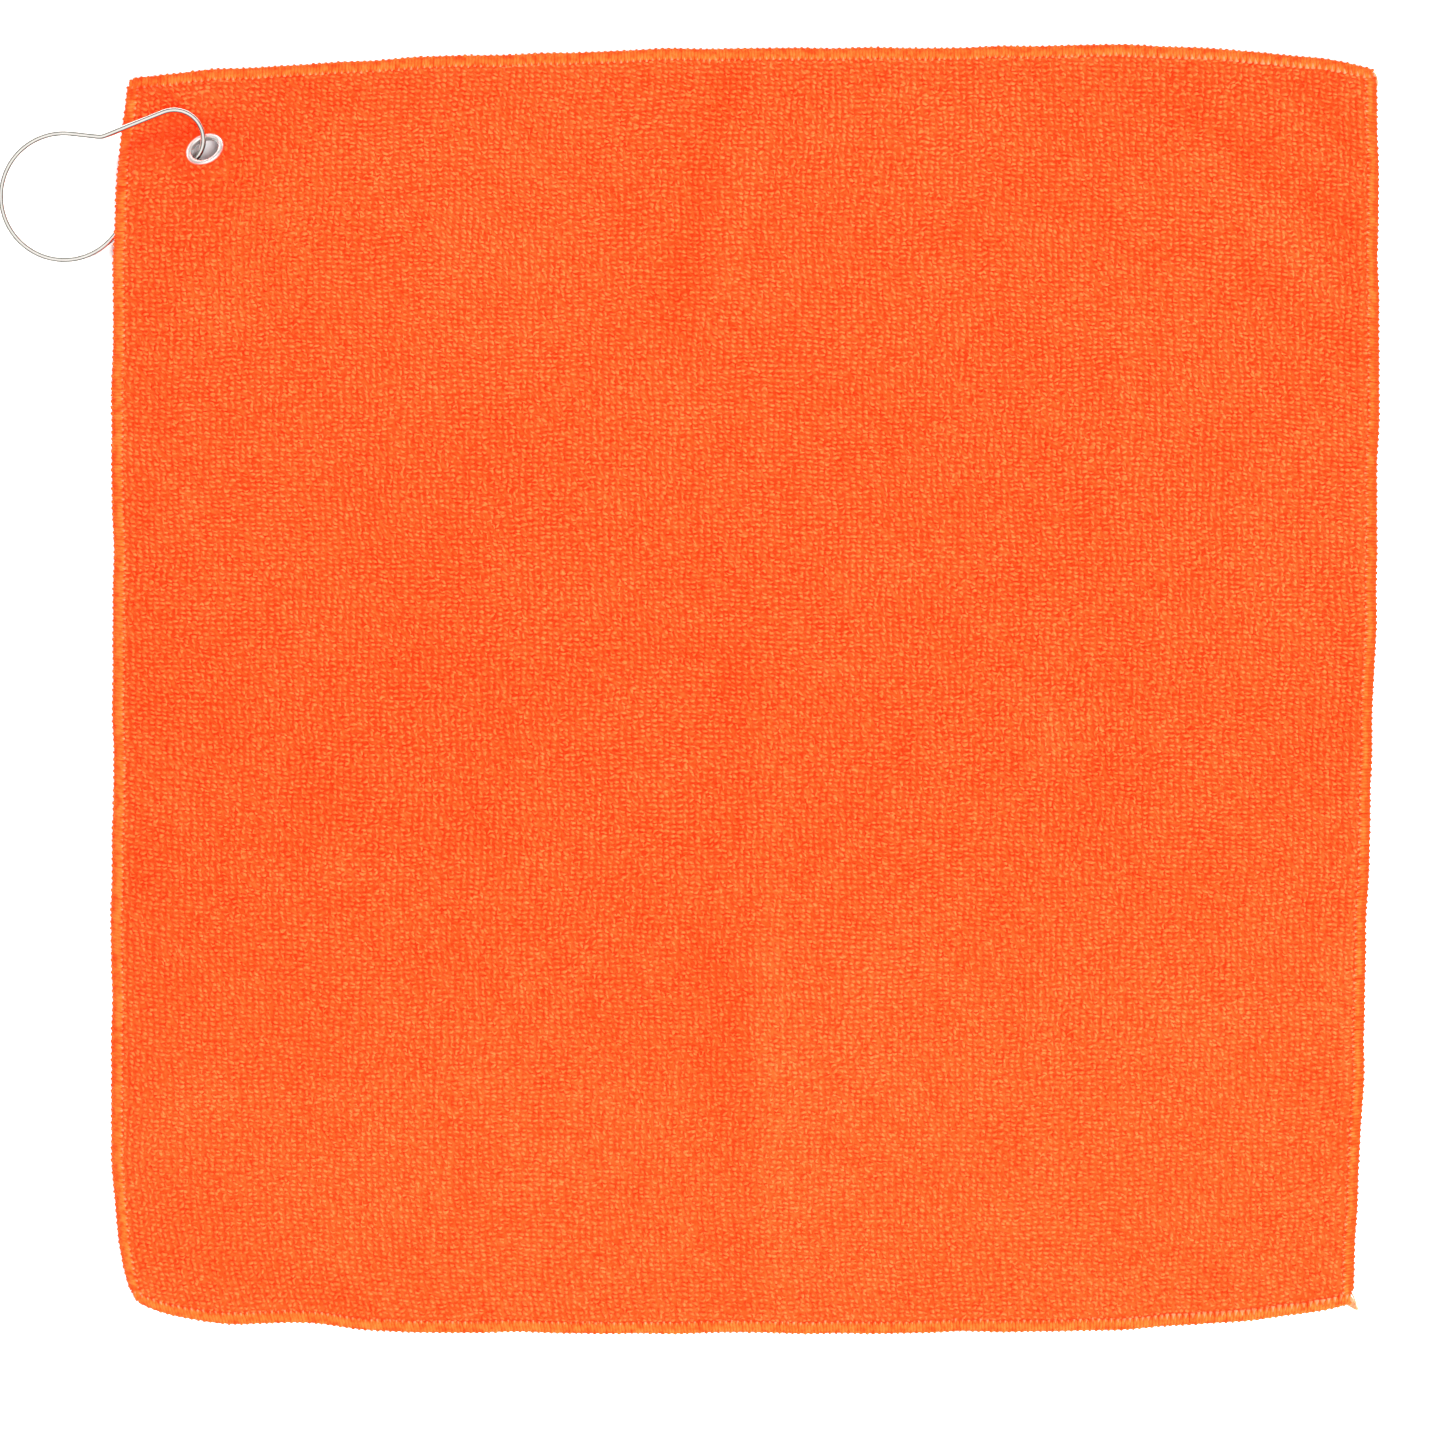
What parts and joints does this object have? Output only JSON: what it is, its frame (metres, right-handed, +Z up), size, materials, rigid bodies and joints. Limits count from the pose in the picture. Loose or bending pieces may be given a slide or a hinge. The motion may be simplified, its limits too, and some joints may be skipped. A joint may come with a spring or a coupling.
{
  "type": "quick dry towel with hanging clip",
  "caption": "Small square quick dry towel in looped terry with overlocked edges, a metal eyelet in one corner and a pear-shaped spring wire clip threaded through it.",
  "frame": {"origin": "centre of the towel at the level of its underside", "axes": "+Z up out of the cloth's upper face, +Y towards the edge whose left end has the eyelet, +X to the right seen from above"},
  "size_m": [0.4125, 0.3844, 0.0134],
  "materials": {
    "terry_cloth": "looped pile, matt",
    "hem_thread": "soft spun overlock thread",
    "needle_thread": "pale smooth sewing thread",
    "nickel_plate": "bright nickel plate",
    "spring_wire": "polished nickel-plated spring wire"
  },
  "bodies": {
    "towel": {"towel_cloth": "terry_cloth", "top_upper_looper_thread": "hem_thread", "top_lower_looper_thread": "hem_thread", "top_needle_thread": "needle_thread", "bottom_upper_looper_thread": "hem_thread", "bottom_lower_looper_thread": "hem_thread", "bottom_needle_thread": "needle_thread", "left_upper_looper_thread": "hem_thread", "left_lower_looper_thread": "hem_thread", "left_needle_thread": "needle_thread", "right_upper_looper_thread": "hem_thread", "right_lower_looper_thread": "hem_thread", "right_needle_thread": "needle_thread", "thread_tail_bottom_right": "hem_thread", "thread_tail_top_right": "hem_thread", "grommet_eyelet": "nickel_plate", "grommet_washer": "nickel_plate"},
    "clip": {"clip_wire": "spring_wire"},
    "gate": {"clip_gate": "spring_wire"}
  },
  "joints": [
    {"name": "clip_swivel", "type": "hinge", "parent": "towel", "child": "clip", "pos_m": [-0.16049, 0.16099, 0.00796], "axis": [0, 0, 1], "range_deg": [-2, 22]},
    {"name": "gate_flex", "type": "hinge", "parent": "clip", "child": "gate", "pos_m": [-0.16501, 0.15696, 0.00586], "axis": [0.0044, 0.1671, -0.9859], "range_deg": [0, 12], "stiffness_Nm_per_rad": 0.3, "springref_deg": -2.86}
  ]
}
